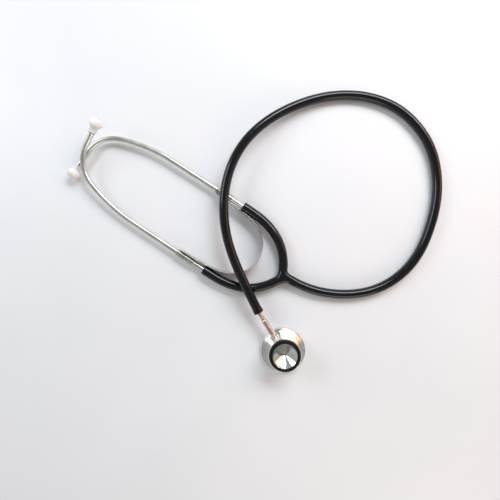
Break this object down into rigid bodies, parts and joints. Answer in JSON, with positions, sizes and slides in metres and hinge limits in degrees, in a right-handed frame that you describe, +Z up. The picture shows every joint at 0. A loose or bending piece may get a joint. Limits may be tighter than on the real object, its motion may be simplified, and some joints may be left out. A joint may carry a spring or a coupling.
{
  "type": "stethoscope",
  "caption": "Dual-head stethoscope laid out on a table: chest piece with bell and diaphragm, black tubing in a wide loop, leaf spring and metal ear tubes crossed at the tips.",
  "frame": {"origin": "centre of the diaphragm's face, on the table the chest piece lies on", "axes": "+Z up out of the bell; +X along the headset from the ear tips to the tube junction; +Y to the left ear tube"},
  "size_m": [0.3779, 0.3209, 0.0341],
  "materials": {
    "head_metal": "polished chrome plate with fine turning lines",
    "stem_metal": "bright plated brass",
    "steel": "polished spring steel",
    "ear_metal": "bright plated tube",
    "tubing": "glossy black vinyl",
    "ring_rubber": "satin black rubber",
    "diaphragm_film": "satin glass-epoxy film",
    "ear_tip_plastic": "glossy off-white",
    "seal_rubber": "matte"
  },
  "bodies": {
    "tubing": {"main_tube": "tubing", "y_junction": "tubing", "stem": "stem_metal", "stem_clip": "steel", "stem_seal": "seal_rubber", "detent_ball": "steel", "detent_spring": "steel", "leaf_spring": "steel"},
    "head": {"chest_body": "head_metal", "bell_ring": "ring_rubber", "diaphragm": "diaphragm_film", "diaphragm_ring": "head_metal", "stem_nut": "stem_metal"},
    "left_arm": {"left_collar": "ear_metal"},
    "right_arm": {"right_collar": "ear_metal"},
    "left_ear": {"left_ear_tube": "ear_metal", "left_ferrule": "stem_metal", "left_limb": "tubing"},
    "right_ear": {"right_ear_tube": "ear_metal", "right_ferrule": "stem_metal", "right_limb": "tubing"},
    "left_tip": {"left_ear_tip": "ear_tip_plastic"},
    "right_tip": {"right_ear_tip": "ear_tip_plastic"}
  },
  "joints": [
    {"name": "head_turn", "type": "hinge", "parent": "tubing", "child": "head", "pos_m": [0, 0, 0.014], "axis": [-0.8988, 0.4384, 0], "range_deg": [0, 180]},
    {"name": "left_arm_spread", "type": "hinge", "parent": "tubing", "child": "left_arm", "pos_m": [-0.092, 0.097, 0.007], "axis": [0, 0, -1], "range_deg": [0, 27], "stiffness_Nm_per_rad": 2, "deforming": ["leaf_spring", "left_limb"]},
    {"name": "right_arm_spread", "type": "hinge", "parent": "tubing", "child": "right_arm", "pos_m": [-0.092, 0.042, 0.007], "axis": [0, 0, 1], "range_deg": [0, 27], "stiffness_Nm_per_rad": 2, "deforming": ["leaf_spring", "right_limb"]},
    {"name": "left_ear_turn", "type": "hinge", "parent": "left_arm", "child": "left_ear", "pos_m": [-0.112, 0.11, 0.007], "axis": [1, -0.0087, 0], "range_deg": [0, 12], "deforming": ["left_limb"]},
    {"name": "right_ear_turn", "type": "hinge", "parent": "right_arm", "child": "right_ear", "pos_m": [-0.112, 0.0285, 0.007], "axis": [0.9997, -0.0262, 0], "range_deg": [0, 12], "deforming": ["right_limb"]},
    {"name": "left_tip_turn", "type": "hinge", "parent": "left_ear", "child": "left_tip", "pos_m": [-0.29643, 0.0469, 0.007], "axis": [-0.0087, -1, 0], "continuous": true},
    {"name": "right_tip_turn", "type": "hinge", "parent": "right_ear", "child": "right_tip", "pos_m": [-0.29419, 0.09517, 0.02592], "axis": [0.025, 0.956, 0.2924], "continuous": true}
  ],
  "couplings": [
    {"joint": "right_arm_spread", "follows": "left_arm_spread", "ratio": 1}
  ]
}
